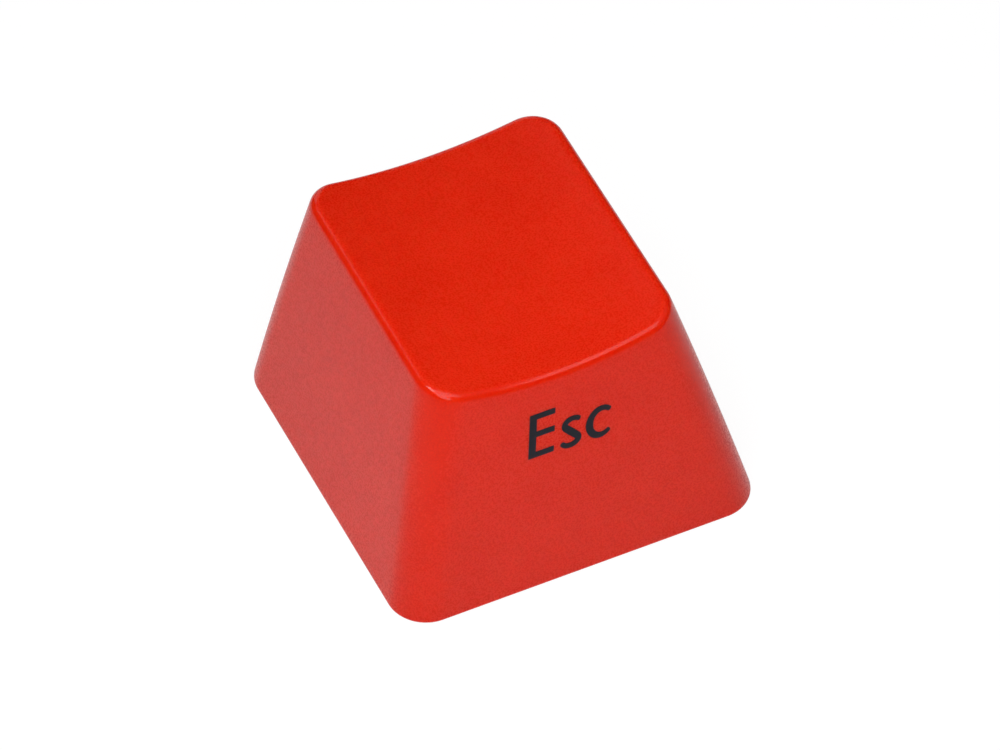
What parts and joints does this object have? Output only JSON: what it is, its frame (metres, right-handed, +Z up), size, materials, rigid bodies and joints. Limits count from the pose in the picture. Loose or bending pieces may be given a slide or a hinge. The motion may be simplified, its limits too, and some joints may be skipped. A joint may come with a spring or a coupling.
{
  "type": "keycap",
  "caption": "Tall sculpted one-unit keycap: tapering hollow shell with a crown dished front to rear, a central post with a cross-shaped socket, and ribs.",
  "frame": {"origin": "middle of the rim's plane, on the axis of the post that takes the switch's stem", "axes": "+Z up, from the rim to the crown; +Y to the rear of the keyboard; +X to the right, as the typist sees it"},
  "size_m": [0.0182, 0.0182, 0.0113],
  "materials": {
    "red_plastic": "moulded bright red plastic with a fine grain and a soft sheen"
  },
  "bodies": {
    "root": {"keycap": "red_plastic"}
  },
  "joints": []
}
